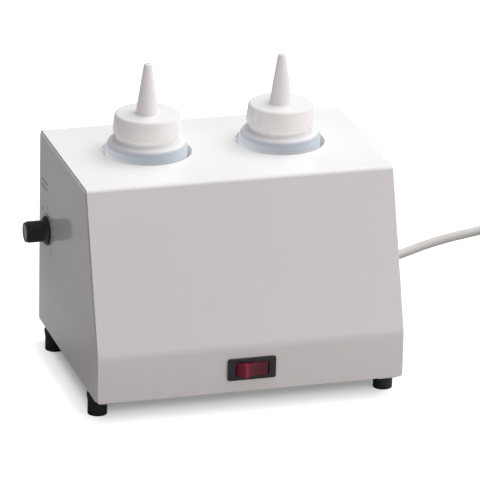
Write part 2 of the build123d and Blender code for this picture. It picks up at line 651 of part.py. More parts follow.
save("switch_housing", switch_housing())
for name, shape in (
    ("rocker", level_rocker()),
    ("neon_lamp", cyl_x(PIVOT_Y - 2.1, SWITCH_Z, 1.25, -6.5, 6.5)),
    ("switch_plunger", level_plunger()),
):
    save(name, spin_z(shape, 0, PIVOT_Y, ROCKER_TILT))
save("contact_lever", contact_lever())
save("switch_terminals", [switch_terminal(x) for x in TAB_X])

# ---------------------------------------------------------------- thermostat, on the left side
OUT_X = -HALF_W          # outside face of the left panel
IN_X = OUT_X + SHEET     # inside face of the left panel
THERMO_Y0, THERMO_Y1 = KNOB_Y - 15, KNOB_Y + 13.5
THERMO_Z0 = KNOB_Z - 15  # underside of the body
THERMO_TAB_Y = (KNOB_Y - 8, KNOB_Y + 6)
THERMO_TAB_Z0 = THERMO_Z0 - 8.5
BUSH_R, SPINDLE_R = 4.0, 3.0


def on_knob_axis(radius, x0, x1):
    return cyl_x(KNOB_Y, KNOB_Z, radius, x0, x1)


def thermostat_plate():
    plate = box(IN_X + 0.05, THERMO_Y0, KNOB_Z - 17, IN_X + 1.25, THERMO_Y1, KNOB_Z + 17)
    plate = plate + on_knob_axis(BUSH_R, IN_X + 0.6, OUT_X - 2.4)
    return plate - on_knob_axis(SPINDLE_R + 0.06, IN_X + 3, OUT_X - 4)


def thermostat_body():
    outline = rect(THERMO_Y0 + 0.5, THERMO_Z0, THERMO_Y1 - 0.5, KNOB_Z + 15, 1.2)
    return prism_x(outline, IN_X + 1.27, IN_X + 21.0) - on_knob_axis(3.4, IN_X, IN_X + 8)


def thermostat_spindle():
    """Spindle with a flat on top of its outer end."""
    spindle = on_knob_axis(SPINDLE_R, IN_X + 6.0, OUT_X - 12.5)
    return spindle - box(
        OUT_X - 13, KNOB_Y - 4, KNOB_Z + 2.2, OUT_X - 5.0, KNOB_Y + 4, KNOB_Z + 4
    )


save("thermostat_plate", thermostat_plate())
save("thermostat_body", thermostat_body())
save("thermostat_terminals", [
    box(IN_X + 12, y - 3.15, THERMO_TAB_Z0, IN_X + 12.8, y + 3.15, THERMO_Z0 - 0.05)
    for y in THERMO_TAB_Y
])
save("thermostat_spindle", thermostat_spindle())
thermostat_nut = nut_z(0, 0, 10.0, 0, 1.9, BUSH_R + 0.03)
save("thermostat_nut", Pos(OUT_X - GAP, KNOB_Y, KNOB_Z) * Rot(0, -90, 0) * thermostat_nut)

# ---------------------------------------------------------------- thermostat knob
KNOB_SKIRT_R, KNOB_R, KNOB_CAP_R = 10.0, 7.25, 6.7
KNOB_X0 = OUT_X - 0.5    # skirt end
KNOB_END_X = -120.6      # outer end of the cap
KNOB_GROOVES = 30
KNOB_OUTLINE = [
    (6.3, KNOB_X0, 0.2), (KNOB_SKIRT_R, KNOB_X0, 0.3), (KNOB_SKIRT_R, KNOB_X0 - 0.9, 0.4),
    (8.3, KNOB_X0 - 2.3, 0.6), (KNOB_R, KNOB_X0 - 3.0, 0.6), (KNOB_R, OUT_X - 14.0, 0.5),
    (5.2, OUT_X - 14.0, 0.2), (5.2, OUT_X - 4.6, 0), (6.3, OUT_X - 4.6, 0),
]
COLLET_OUTLINE = [
    (3.03, OUT_X - 4.7, 0), (5.15, OUT_X - 4.7, 0.2),
    (5.15, OUT_X - 13.2, 0.4), (3.03, OUT_X - 13.2, 0.2),
]
KNOB_CAP_OUTLINE = [
    (0, OUT_X - 13.45, 0), (4.9, OUT_X - 13.45, 0), (4.9, OUT_X - 14.05, 0),
    (KNOB_CAP_R, OUT_X - 14.05, 0.25), (KNOB_CAP_R, KNOB_END_X, 0.55), (0, KNOB_END_X, 0),
]
KNOB_CAP_RECESS = [
    (0, KNOB_END_X - 1, 0), (5.5, KNOB_END_X - 1, 0),
    (5.5, KNOB_END_X + 0.25, 0.1), (0, KNOB_END_X + 0.25, 0),
]


def knob_body():
    knob = turned_x(KNOB_OUTLINE, KNOB_Y, KNOB_Z)
    reach = KNOB_R + 0.22
    for k in range(KNOB_GROOVES):
        angle = math.radians(360 / KNOB_GROOVES * k)
        y = KNOB_Y + reach * math.cos(angle)
        z = KNOB_Z + reach * math.sin(angle)
        knob = knob - cyl_x(y, z, 0.42, KNOB_X0 - 3.6, OUT_X - 15)
    return knob


save("knob_body", knob_body())
save("knob_collet", turned_x(COLLET_OUTLINE, KNOB_Y, KNOB_Z))
knob_cap = turned_x(KNOB_CAP_OUTLINE, KNOB_Y, KNOB_Z)
save("knob_cap", knob_cap - turned_x(KNOB_CAP_RECESS, KNOB_Y, KNOB_Z))

# ---------------------------------------------------------------- sensing bulb and thermal fuse
BULB_X, BULB_Y = -CUP_X, CUP_Y + CUP_OUT_R + 3.1     # in the gap of the left heater
BULB_R = 3.0
FUSE_X, FUSE_Y = CUP_X, CUP_Y + CUP_OUT_R + 2.3      # in the gap of the right heater
FUSE_R = 2.0


def open_clip(x, y, r_in, r_out, z0, z1, half_opening):
    """Ring that is open towards the cup in front of it."""
    opening = box(x - half_opening, y - 6, z0 - 1, x + half_opening, y - 0.5, z1 + 1)
    return ring_z(x, y, r_in, r_out, z0, z1) - opening


bulb = turned_z([(0, 44, 0), (BULB_R, 44, 1.2), (BULB_R, 100, 2.0), (0, 100, 0)], BULB_X, BULB_Y)
capillary = tube(
    [
        (BULB_X, BULB_Y, 99.0), (BULB_X, BULB_Y, 114.0), (-74.0, 66.0, 119.0),
        (-92.0, 58.0, 116.0), (-92.0, KNOB_Y, KNOB_Z + 15.4),
    ],
    [5.0, 10.0, 5.0], 0.8,
)
save("sensor_bulb_and_capillary", bulb + capillary)
fuse = turned_z([(0, 60, 0), (FUSE_R, 60, 0.6), (FUSE_R, 71, 0.6), (0, 71, 0)], FUSE_X, FUSE_Y)
save("thermal_fuse", fuse)
save("sensor_clips", [
    open_clip(BULB_X, BULB_Y, BULB_R + 0.05, 3.65, 66, 78, half_opening=2.2),
    open_clip(FUSE_X, FUSE_Y, FUSE_R + 0.05, 2.6, 62.5, 68.5, half_opening=1.6),
])

# ---------------------------------------------------------------- terminal block
POLE_PITCH = 11.2
POLE_X = [BLOCK_X + k * POLE_PITCH for k in (-1, 0, 1)]
POLE_Z = FLOOR_Z + 7.5   # axis of the wire bores
POLE_SCREW_Y = (BLOCK_Y - 4.2, BLOCK_Y + 4.2)
BLOCK_BORE = cyl_z(BLOCK_X, BLOCK_Y, M3_HOLE_R, FLOOR_Z - 1, FLOOR_Z + 20)


def terminal_block():
    block = prism_z(
        rect(BLOCK_X - 17, BLOCK_Y - 8, BLOCK_X + 17, BLOCK_Y + 8, 1.0), FLOOR_Z, FLOOR_Z + 5
    )
    for x in POLE_X:
        block = block + box(
            x - 4.6, BLOCK_Y - 7.6, FLOOR_Z + 4, x + 4.6, BLOCK_Y + 7.6, FLOOR_Z + 13
        )
        block = block - cyl_y(x, POLE_Z, 2.3, BLOCK_Y - 9, BLOCK_Y + 9)
        for y in POLE_SCREW_Y:
            block = block - cyl_z(x, y, 1.8, FLOOR_Z + 7, FLOOR_Z + 15)
    return block - BLOCK_BORE


def pole_clamp(x):
    clamp = cyl_y(x, POLE_Z, 2.25, BLOCK_Y - 6.5, BLOCK_Y + 6.5)
    clamp = clamp - cyl_y(x, POLE_Z, 1.35, BLOCK_Y - 8, BLOCK_Y + 8)
    for y in POLE_SCREW_Y:
        clamp = clamp - cyl_z(x, y, 1.22, POLE_Z, FLOOR_Z + 12)
    return clamp - BLOCK_BORE if x == BLOCK_X else clamp


def pole_screw(x, y):
    """Slotted screw that presses on the wire."""
    screw = cyl_z(x, y, 1.2, FLOOR_Z + 8.95, FLOOR_Z + 10.4)
    screw = screw + cyl_z(x, y, 1.7, FLOOR_Z + 10.3, FLOOR_Z + 12.2)
    return screw - box(x - 2, y - 0.25, FLOOR_Z + 11.6, x + 2, y + 0.25, FLOOR_Z + 13)


save("terminal_block", terminal_block())
save(
    "terminal_clamps_and_screws",
    [pole_clamp(x) for x in POLE_X] + [pole_screw(x, y) for x in POLE_X for y in POLE_SCREW_Y],
)

# ---------------------------------------------------------------- base fasteners and earth stud
# x, y, length, diameter, head radius, head height
BASE_SCREWS = [(x, y, 8.0, 4.0, 3.5, 2.0) for x, y in BRACKET_SCREWS] + [
    (BLOCK_X, BLOCK_Y, 16.0, 3.0, 2.8, 1.8),
    (EARTH_X, EARTH_Y, 14.0, 4.0, 3.5, 2.0),
]
LUG_Z0, LUG_Z1 = FLOOR_Z + 0.82, FLOOR_Z + 1.4

save("base_screws", [pan_screw(x, y, BASE_Z0 - 0.01, *sizes) for x, y, *sizes in BASE_SCREWS])
bracket_nuts = [
    nut_z(x, y, 7.0, BRACKET_FOOT_Z + GAP, SHELL_Z0 + BRACKET_T + 3.2, M4_NUT_BORE_R)
    for x, y in BRACKET_SCREWS
]
save("base_nuts_and_washer", bracket_nuts + [
    nut_z(EARTH_X, EARTH_Y, 7.0, FLOOR_Z + 1.45, FLOOR_Z + 4.6, M4_NUT_BORE_R),
    ring_z(EARTH_X, EARTH_Y, M4_HOLE_R, 4.5, FLOOR_Z, FLOOR_Z + 0.8),
])
lug = cyl_z(0, 0, 3.6, LUG_Z0, LUG_Z1) + box(0, -1.6, LUG_Z0, 7.5, 1.6, LUG_Z1)
lug = lug - cyl_z(0, 0, M4_HOLE_R, FLOOR_Z, FLOOR_Z + 2)
save("earth_lug", Pos(EARTH_X, EARTH_Y, 0) * Rot(0, 0, -45) * lug)

# ---------------------------------------------------------------- cable gland
GLAND_HOLE_R = 3.4
GLAND_OUTLINE = [
    (GLAND_HOLE_R, HALF_D - 9, 0.3), (GLAND_THREAD_R, HALF_D - 9, 0.5),
    (GLAND_THREAD_R, HALF_D + GAP, 0), (9.4, HALF_D + GAP, 0.6),
    (9.4, HALF_D + 5.0, 0.6), (7.4, HALF_D + 5.0, 0.2),
    (7.4, HALF_D + 12.0, 0.5), (GLAND_HOLE_R, HALF_D + 12.0, 0.3),
]
DOME_OUTLINE = [
    (7.5, HALF_D + 5.2, 0.1), (9.0, HALF_D + 5.2, 0.6), (9.0, HALF_D + 14.5, 2.5),
    (4.6, HALF_D + 18.0, 0.6), (3.5, HALF_D + 18.0, 0.4), (3.5, HALF_D + 13.4, 0.2),
    (7.5, HALF_D + 12.4, 0.2),
]
GLAND_PLACE = Pos(GLAND_X, 0, GLAND_Z)


def gland_body():
    """Turned body, cut to a hexagon outside the back sheet."""
    flats = GLAND_PLACE * prism_y(hexagon(17.0, 0.8), HALF_D - 20, HALF_D + 30)
    barrel = cyl_y(GLAND_X, GLAND_Z, GLAND_THREAD_R + 0.05, HALF_D - 20, HALF_D + GAP)
    return turned_y(GLAND_OUTLINE, GLAND_X, GLAND_Z) & (flats + barrel)


def gland_dome_nut():
    dome = turned_y(DOME_OUTLINE, GLAND_X, GLAND_Z)
    for k in range(12):
        angle = math.radians(30 * k)
        x = GLAND_X + 9.35 * math.cos(angle)
        z = GLAND_Z + 9.35 * math.sin(angle)
        dome = dome - cyl_y(x, z, 0.9, HALF_D + 5, HALF_D + 13.5)
    return dome


def gland_lock_nut():
    nut = prism_y(hexagon(18.5, 0.8), HALF_D - SHEET - 4.0, HALF_D - SHEET - 0.05)
    return GLAND_PLACE * (nut - cyl_y(0, 0, GLAND_THREAD_R + 0.05, HALF_D - 10, HALF_D + 3))


save("gland_body", gland_body())
save("gland_dome_nut", gland_dome_nut())
save("gland_lock_nut", gland_lock_nut())

# ---------------------------------------------------------------- mains cable and plug
PLUG_X, PLUG_Z = 284.0, 18.7
PIN_X, PIN_R = 9.5, 2.4  # pin offset from the middle of the plug
CABLE_PATH = [
    (93.5, -22.0, 27.0), (93.5, 36.0, 29.5), (GLAND_X, 57.0, GLAND_Z),
    (GLAND_X, 109.5, GLAND_Z), (150.0, 110.8, 21.5), (203.1, 144.4, 20.3),
    (PLUG_X, 174.2, PLUG_Z), (PLUG_X, 126.5, PLUG_Z),
]
PLUG_OUTLINE = [
    (CABLE_R + 0.1, 134, 0.3), (4.6, 134, 0.6), (6.2, 112, 3), (9.5, 106, 3), (13.5, 99, 4),
    (18.4, 97, 2.0), (18.4, 82, 0.8), (16.4, 80, 0.6), (0, 80, 0), (0, 126, 0),
    (CABLE_R + 0.1, 126, 0),
]
PIN_OUTLINE = [(0, 61, 0), (PIN_R, 61, 1.2), (PIN_R, 91.5, 0.2), (0, 91.5, 0)]

save("mains_cable", tube(CABLE_PATH, [14.0, 10.0, 12.5, 40.0, 190.0, 25.0], CABLE_R))
plug = turned_y(PLUG_OUTLINE, PLUG_X, PLUG_Z)
pins, earth_strips = [], []
for _, side in SIDES:
    pin_x = PLUG_X + side * PIN_X
    # side recess for the earth strip, then the pin bore
    plug = plug - box(
        PLUG_X + side * 14.6, 78, PLUG_Z - 3.2, PLUG_X + side * 20, 93, PLUG_Z + 3.2
    )
    plug = plug - cyl_y(pin_x, PLUG_Z, PIN_R + 0.02, 79, 92)
    pins.append(turned_y(PIN_OUTLINE, pin_x, PLUG_Z))
    earth_strips.append(box(
        PLUG_X + side * 14.65, 79.5, PLUG_Z - 2.4, PLUG_X + side * 15.5, 92.9, PLUG_Z + 2.4
    ))
save("plug_body", plug)
save("plug_pins_and_earth_strips", pins + earth_strips)

# ---------------------------------------------------------------- wiring inside the housing
WIRE_R, THIN_WIRE_R = 1.15, 1.0
BLOCK_BACK_Y, BLOCK_FRONT_Y = BLOCK_Y + 6.6, BLOCK_Y - 6.6
LIVE_X, NEUTRAL_X = POLE_X[2], POLE_X[1]
TAB_END_Y = TAB_BACK_Y + 0.15
THERMO_X = IN_X + 12.4   # middle of the thermostat terminals
THERMO_END_Z = THERMO_TAB_Z0 - 0.1
EAR_OUT = EAR_X + 1.0 + 1.3      # wire ends beside the heater ears
HEATER_Y = CUP_Y + EAR_Y + 3.2
BEHIND_Y = CUP_Y + 41    # runs behind the cups

# each row: points, bend radii, wire radius
LIVE_WIRES = [
    (   # cable to block
        [(92.1, -22.6, 27.9), (91, -32.5, 27), (LIVE_X, -31, POLE_Z),
         (LIVE_X, BLOCK_BACK_Y, POLE_Z)],
        [5, 5], WIRE_R,
    ),
    (   # block to switch
        [(LIVE_X, BLOCK_FRONT_Y, POLE_Z), (LIVE_X, -67, POLE_Z), (24, -67, 28),
         (22, -40, 38.5), (0, -38, 38.5), (0, TAB_END_Y + 1.0, SWITCH_Z + 0.8)],
        [4, 5, 5, 4], WIRE_R,
    ),
    (   # switch to thermostat
        [(TAB_X[2], TAB_END_Y, SWITCH_Z), (TAB_X[2], -36, SWITCH_Z), (THERMO_X, -36, SWITCH_Z),
         (THERMO_X, THERMO_TAB_Y[0], SWITCH_Z), (THERMO_X, THERMO_TAB_Y[0], THERMO_END_Z)],
        [5, 10, 10], WIRE_R,
    ),
    (   # thermostat to left heater
        [(THERMO_X, THERMO_TAB_Y[1], THERMO_END_Z), (THERMO_X, THERMO_TAB_Y[1], 51),
         (-CUP_X - 15, BEHIND_Y, 49), (-CUP_X - EAR_OUT, HEATER_Y, 46)],
        [5, 3], WIRE_R,
    ),
    (   # left heater to right heater
        [(-CUP_X + EAR_OUT, HEATER_Y, 46), (-CUP_X + 15, BEHIND_Y, 47),
         (CUP_X - 15, BEHIND_Y, 47), (CUP_X - EAR_OUT, HEATER_Y, 46)],
        [3, 3], WIRE_R,
    ),
]
NEUTRAL_WIRES = [
    (   # cable to block
        [(93.3, -22.6, 25.3), (91, -25.5, 24.6), (NEUTRAL_X, -25.5, 24.2),
         (NEUTRAL_X, BLOCK_BACK_Y, POLE_Z)],
        [2, 4], WIRE_R,
    ),
    (   # block to switch
        [(NEUTRAL_X + 1.05, BLOCK_FRONT_Y, POLE_Z), (NEUTRAL_X + 1.05, -60.6, POLE_Z),
         (NEUTRAL_X, -61.5, 18.5), (-20, -62.5, 18.5), (-20, -40, 29),
         (TAB_X[0], -40, SWITCH_Z), (TAB_X[0], TAB_END_Y, SWITCH_Z)],
        [1.3, 2, 5, 4, 3], THIN_WIRE_R,
    ),
    (   # right heater to block
        [(CUP_X + EAR_OUT, HEATER_Y, 46), (CUP_X + 15, BEHIND_Y, 47), (97, 50, 42),
         (97, -52, 38), (NEUTRAL_X - 1.05, -63.5, 31), (NEUTRAL_X - 1.05, -63.5, POLE_Z),
         (NEUTRAL_X - 1.05, BLOCK_FRONT_Y, POLE_Z)],
        [3, 8, 8, 3, 2.5], THIN_WIRE_R,
    ),
]
EARTH_PATH = [(94.9, -22.6, 27.9), (95.6, -47, 25), (92.5, -48.5, 18.6), (87.9, -43.9, 17.9)]

save("wires_live", [tube(*wire) for wire in LIVE_WIRES])
save("wires_neutral", [tube(*wire) for wire in NEUTRAL_WIRES])
save("wire_earth", tube(EARTH_PATH, [3, 2.5], WIRE_R))
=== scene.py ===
# Two capped, milky bottles standing side by side in the metal cups of a painted steel housing.
# +Z is up and the floor is z = 0. The bottles stand either side of x = 0, and the camera looks
# from the front (-Y) and the left (-X). The knob and its printed dial are on the left side.
# Meshes are worked out in millimetres. Shaders, lights and the camera are in metres.
import bpy, bmesh, json, math
from mathutils import Vector, Matrix, noise


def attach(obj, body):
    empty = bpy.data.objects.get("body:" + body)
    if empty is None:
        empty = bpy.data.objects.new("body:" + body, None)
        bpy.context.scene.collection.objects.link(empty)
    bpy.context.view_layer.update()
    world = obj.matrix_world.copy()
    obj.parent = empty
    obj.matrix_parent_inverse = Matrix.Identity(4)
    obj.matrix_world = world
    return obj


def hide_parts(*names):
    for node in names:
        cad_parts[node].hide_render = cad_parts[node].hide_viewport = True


MM = 0.001
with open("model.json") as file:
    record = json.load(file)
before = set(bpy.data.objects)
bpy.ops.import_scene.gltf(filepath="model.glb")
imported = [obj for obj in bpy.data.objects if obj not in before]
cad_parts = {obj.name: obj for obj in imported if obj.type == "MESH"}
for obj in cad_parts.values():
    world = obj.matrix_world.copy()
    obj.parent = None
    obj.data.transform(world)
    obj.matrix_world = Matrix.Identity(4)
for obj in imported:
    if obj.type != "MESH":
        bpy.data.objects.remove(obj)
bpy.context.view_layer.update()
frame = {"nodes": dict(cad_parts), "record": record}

# Knob axis on the left side, which runs along X
KNOB_Y, KNOB_Z = 54.5, 87.5
KNOB_DISC_R = 5.5          # grey disc let into the knob's black face


# ------------------------------------------------------------------ node builders
class Graph:
    """Builds shader nodes. Any value may be a number, a colour or another node's output."""

    def __init__(self, tree):
        self.tree = tree
        tree.nodes.clear()

    def feed(self, socket, value):
        if isinstance(value, bpy.types.NodeSocket):
            self.tree.links.new(value, socket)
        else:
            socket.default_value = value

    def node(self, kind, inputs=(), **settings):
        made = self.tree.nodes.new("ShaderNode" + kind)
        for key, value in settings.items():
            setattr(made, key, value)
        for key, value in dict(inputs).items():
            self.feed(made.inputs[key], value)
        return made

    def math(self, operation, *values):
        return self.node("Math", dict(enumerate(values)), operation=operation).outputs[0]

    def mix(self, base, other, factor, blend="MIX"):
        """Colour mix; on the RGBA mix node the colours are sockets 6 and 7."""
        made = self.node("Mix", {}, data_type="RGBA", blend_type=blend)
        for index, value in ((0, factor), (6, base), (7, other)):
            self.feed(made.inputs[index], value)
        return made.outputs[2]

    def remap(self, source, to, span=(0.3, 0.7), **settings):
        """Maps the span of the source onto the two values in `to`."""
        inputs = {
            "Value": source,
            "From Min": span[0], "From Max": span[1],
            "To Min": to[0], "To Max": to[1],
        }
        return self.node("MapRange", inputs, **settings).outputs["Result"]

    def ramp(self, source, stops):
        """Colour ramp from (position, colour) stops; a lone number is a grey."""
        made = self.node("ValToRGB", {"Fac": source})
        elements = made.color_ramp.elements
        while len(elements) < len(stops):
            elements.new(0.5)
        for element, (position, colour) in zip(elements, stops):
            if isinstance(colour, (int, float)):
                colour = (colour, colour, colour)
            element.position = position
            element.color = (*colour, 1)
        return made.outputs["Color"]


class Finish(Graph):
    """A node material around one Principled shader."""

    def __init__(self, name):
        self.material = bpy.data.materials.new(name)
        self.material.use_nodes = True
        super().__init__(self.material.node_tree)
        self.output = self.node("OutputMaterial")
        self.surface = self.node("BsdfPrincipled")
        self.feed(self.output.inputs[0], self.surface.outputs[0])
        self.place = self.node("TexCoord").outputs["Object"]

    def set(self, **inputs):
        """Sets Principled inputs, with underscores for the spaces in their names."""
        for key, value in inputs.items():
            self.feed(self.surface.inputs[key.replace("_", " ")], value)

    def position(self):
        return self.node("SeparateXYZ", {0: self.place}).outputs

    def normal(self):
        facing = self.node("NewGeometry").outputs["Normal"]
        return self.node("SeparateXYZ", {0: facing}).outputs

    def mapped(self, **inputs):
        return self.node("Mapping", {"Vector": self.place, **inputs}).outputs["Vector"]

    def noise(self, scale, detail=3.0, rough=0.55, vector=None):
        inputs = {
            "Scale": scale, "Detail": detail, "Roughness": rough,
            "Vector": vector or self.place,
        }
        return self.node("TexNoise", inputs).outputs["Fac"]

    def wave(self, scale, distortion=0.0, vector=None, **settings):
        inputs = {"Scale": scale, "Distortion": distortion, "Vector": vector or self.place}
        return self.node("TexWave", inputs, **settings).outputs["Fac"]

    def tones(self, source, colour, factors, span=(0.3, 0.7)):
        """Ramp between two shades of one colour."""
        return self.ramp(source, [(at, shade(colour, by)) for at, by in zip(span, factors)])

    def bump(self, height, strength, distance=0.0001):
        inputs = {"Strength": strength, "Distance": distance, "Height": height}
        self.set(Normal=self.node("Bump", inputs).outputs["Normal"])


def shade(colour, factor):
    return tuple(max(0.0, min(1.0, channel * factor)) for channel in colour)


# ------------------------------------------------------------------ materials
def plain(name, colour, rough, spread=0.06, grain=900.0, relief=0.1, **inputs):
    """Slow tone drift by `spread`, and fine grain in roughness and bump."""
    m = Finish(name)
    slow = m.noise(scale=14.0, detail=4.0)
    fine = m.noise(scale=grain, detail=2.0)
    m.set(
        Base_Color=m.tones(slow, colour, factors=(1 - spread, 1 + spread)),
        Roughness=m.remap(fine, to=(rough * 0.85, min(1, rough * 1.2))),
        **inputs,
    )
    m.bump(fine, strength=relief)
    return m.material


def powder_coat(name, colour):
    m = Finish(name)
    slow = m.noise(scale=9.0)
    fine = m.noise(scale=520.0, detail=2.0, rough=0.5)
    speck = m.noise(scale=2600.0, detail=1.0)
    tone = m.tones(slow, colour, factors=(0.985, 1.012), span=(0.32, 0.68))
    specks = m.ramp(speck, [(0.30, 0.965), (0.42, 1)])
    # light thrown back by the pale floor onto the foot of the left side
    turned_left = m.remap(m.normal()["X"], span=(-0.9, -0.6), to=(1.0, 0.0))
    near_floor = m.remap(m.position()["Z"], span=(0.010, 0.064), to=(0.088, 0.0))
    m.set(
        Base_Color=m.mix(tone, specks, factor=0.5, blend="MULTIPLY"),
        Roughness=m.remap(slow, to=(0.34, 0.42)),
        Specular_IOR_Level=0.25,
        Coat_Weight=0.55,
        Coat_Roughness=0.045,
        Emission_Color=(1.0, 0.97, 1.0, 1),
        Emission_Strength=m.math("MULTIPLY", turned_left, near_floor),
    )
    m.bump(fine, strength=0.05)
    return m.material


def galvanised(name):
    """Zinc spangle: every cell has its own tone and roughness."""
    m = Finish(name)
    cells = m.node("TexVoronoi", {"Scale": 130.0, "Vector": m.place}, feature="F1")
    cell = m.node("SeparateColor", {0: cells.outputs["Color"]}).outputs
    m.set(
        Base_Color=m.ramp(cell[0], [(0.0, (0.42, 0.44, 0.46)), (1.0, (0.66, 0.67, 0.68))]),
        Roughness=m.remap(cell[1], span=(0.0, 1.0), to=(0.28, 0.5)),
        Metallic=0.95,
    )
    m.bump(m.noise(scale=700.0), strength=0.12)
    return m.material


def add_turning_lines(m, colour, factors, rough, stretch):
    """Fine lines in colour, roughness and bump; `stretch` scales the noise along x, y, z."""
    lines = m.noise(scale=60.0, detail=2.0, rough=0.6, vector=m.mapped(Scale=stretch))
    m.set(
        Base_Color=m.tones(lines, colour, factors, span=(0.25, 0.75)),
        Roughness=m.remap(lines, to=rough),
    )
    m.bump(lines, strength=0.12)


def turned_metal(name, colour, rough=0.28, stretch=(1, 1, 60)):
    m = Finish(name)
    rough_range = (rough * 0.75, rough * 1.4)
    add_turning_lines(m, colour, (0.86, 1.08), rough_range, stretch)
    m.set(Metallic=1.0)
    return m.material


def cup_metal(name):
    """Spun aluminium, washed near its rim with the light that the milky bottle scatters."""
    m = Finish(name)
    add_turning_lines(
        m, colour=(0.74, 0.745, 0.755), factors=(0.88, 1.06), rough=(0.4, 0.62), stretch=(1, 1, 70)
    )
    m.set(
        Metallic=0.15,
        Emission_Color=(1.0, 0.98, 0.98, 1),
        Emission_Strength=m.remap(m.position()["Z"], span=(0.128, 0.149), to=(0.0, 0.09)),
    )
    return m.material


def cap_plastic(name, colour):
    """Milky moulded polyethylene with slight haze."""
    m = Finish(name)
    haze = m.noise(scale=40.0, detail=4.0, rough=0.6, vector=m.mapped(Scale=(1, 1, 0.35)))
    fine = m.noise(scale=260.0)
    m.set(
        Base_Color=m.tones(haze, colour, factors=(0.985, 1.01)),
        Roughness=m.remap(fine, to=(0.294, 0.306)),
        Transmission_Weight=m.remap(haze, to=(0.0, 0.0)),
        # light carried through the wall shows on the flanks, not on the lit flat top
        Emission_Strength=m.remap(m.normal()["Z"], span=(0.0, 0.95), to=(0.178, 0.0)),
        Emission_Color=(1.0, 0.925, 0.905, 1),
        IOR=1.48,
        Subsurface_Weight=0.0,
        Subsurface_Radius=(0.0014, 0.0014, 0.0015),
        Subsurface_Scale=1.0,
        Coat_Weight=0.5,
        Coat_Roughness=0.06,
        Coat_IOR=1.6,
    )
    return m.material


# Bottle colours up the wall: 0 is z = 0.146 m and 1 is z = 0.166 m
BOTTLE_SPAN = (0.146, 0.166)
# the bottle's own bluish milky tint, with painted shade down in the cup and just under the
# shoulder, and a painted highlight ring at the shoulder's edge
BOTTLE_TINT_SHADE_HIGHLIGHT = [
    (0.0, (0.58, 0.61, 0.63)), (0.28, (0.535, 0.57, 0.595)), (0.35, (0.455, 0.51, 0.56)),
    (0.42, (0.465, 0.53, 0.58)), (0.495, (0.425, 0.473, 0.54)), (0.55, (0.40, 0.43, 0.48)),
    (0.615, (0.64, 0.63, 0.67)), (0.66, (0.79, 0.77, 0.785)), (0.73, (0.68, 0.655, 0.665)),
    (0.775, (0.82, 0.80, 0.81)), (1.0, (0.86, 0.845, 0.85)),
]
# painted glow: light seen through the milky wall, brightest low in the cup and under the cap
BOTTLE_GLOW = [
    (0.0, (0.14, 0.145, 0.15)), (0.28, (0.14, 0.15, 0.155)), (0.35, (0.10, 0.105, 0.113)),
    (0.42, (0.10, 0.106, 0.12)), (0.495, (0.085, 0.09, 0.10)), (0.55, (0.055, 0.06, 0.06)),
    (0.66, (0.02, 0.02, 0.02)), (0.73, (0.05, 0.05, 0.05)), (0.84, (0.16, 0.155, 0.16)),
]


def frosted(name):
    """Blown bottle: bluish where the wall stands in the cup, paler over the shoulder, with painted
    shade and a painted highlight ring up the wall.

    A thin milky wall passes light along itself; a painted glow keeps it lit at its limb, down in
    the cup and under the cap.
    """
    m = Finish(name)
    height = m.remap(m.position()["Z"], span=BOTTLE_SPAN, to=(0.0, 1.0))
    haze = m.noise(scale=30.0, detail=2.0, rough=0.5, vector=m.mapped(Scale=(1, 1, 0.4)))
    fine = m.noise(scale=300.0, detail=2.0)
    haze_tone = m.ramp(haze, [(0.3, 0.975), (0.7, 1)])
    tone = m.mix(m.ramp(height, BOTTLE_TINT_SHADE_HIGHLIGHT), haze_tone, factor=1.0, blend="MULTIPLY")
    facing = m.node("LayerWeight", {"Blend": 0.5}).outputs["Facing"]
    body = m.remap(height, span=(0.50, 0.66), to=(1.0, 0.0))
    # painted shade: the wall is darkened through its middle, where the dark cup would show through
    # it
    middle_shade = m.remap(facing, span=(0.10, 0.35), to=(0.12, 0.0))
    deep_shade = m.math("MULTIPLY", middle_shade, body)
    # painted glow: the wall carries light along itself to its limb
    limb = m.remap(facing, span=(0.12, 0.50), to=(0.0, 0.04))
    # painted glow, stronger on the flank that faces -X
    left_flank_glow = m.remap(m.normal()["X"], span=(-0.9, -0.25), to=(0.15, 0.0))
    edge_glow = m.math("MULTIPLY", m.math("ADD", limb, left_flank_glow), body)
    glow = m.ramp(height, BOTTLE_GLOW)
    m.set(
        Base_Color=m.mix(tone, (0, 0, 0, 1), factor=deep_shade, blend="MULTIPLY"),
        Roughness=m.remap(fine, to=(0.245, 0.265)),
        Emission_Color=m.mix(glow, (0.965, 0.965, 0.985, 1), factor=edge_glow, blend="ADD"),
        Emission_Strength=1.0,
        IOR=1.5,
        Subsurface_Weight=0.0,
        Subsurface_Radius=(0.0014, 0.0015, 0.0017),
        Subsurface_Scale=1.0,
    )
    m.bump(haze, strength=0.02)
    return m.material


def knob_inset(name, y, z, disc_r):
    """Black rim with a ringed grey disc let into it, told apart by radius from the knob's axis."""
    m = Finish(name)
    position = m.position()
    across = m.math("SUBTRACT", position["Y"], y)
    above = m.math("SUBTRACT", position["Z"], z)
    squared = m.math("MULTIPLY_ADD", above, above, m.math("MULTIPLY", across, across))
    inside = m.math("LESS_THAN", m.math("SQRT", squared), disc_r)
    rings = m.wave(
        scale=900.0, vector=m.mapped(Location=(0, -y, -z)), wave_type="RINGS", rings_direction="X"
    )
    disc = m.ramp(rings, [(0.2, (0.22, 0.225, 0.235)), (0.8, (0.30, 0.305, 0.315))])
    rim_stops = [(0.3, (0.016, 0.017, 0.019)), (0.7, (0.026, 0.027, 0.03))]
    rim = m.ramp(m.noise(scale=1500.0), rim_stops)
    m.set(
        Base_Color=m.mix(rim, disc, factor=inside),
        Metallic=m.math("MULTIPLY", inside, 0.6),
        Roughness=0.33,
    )
    m.bump(rings, strength=0.1, distance=0.00005)
    return m.material
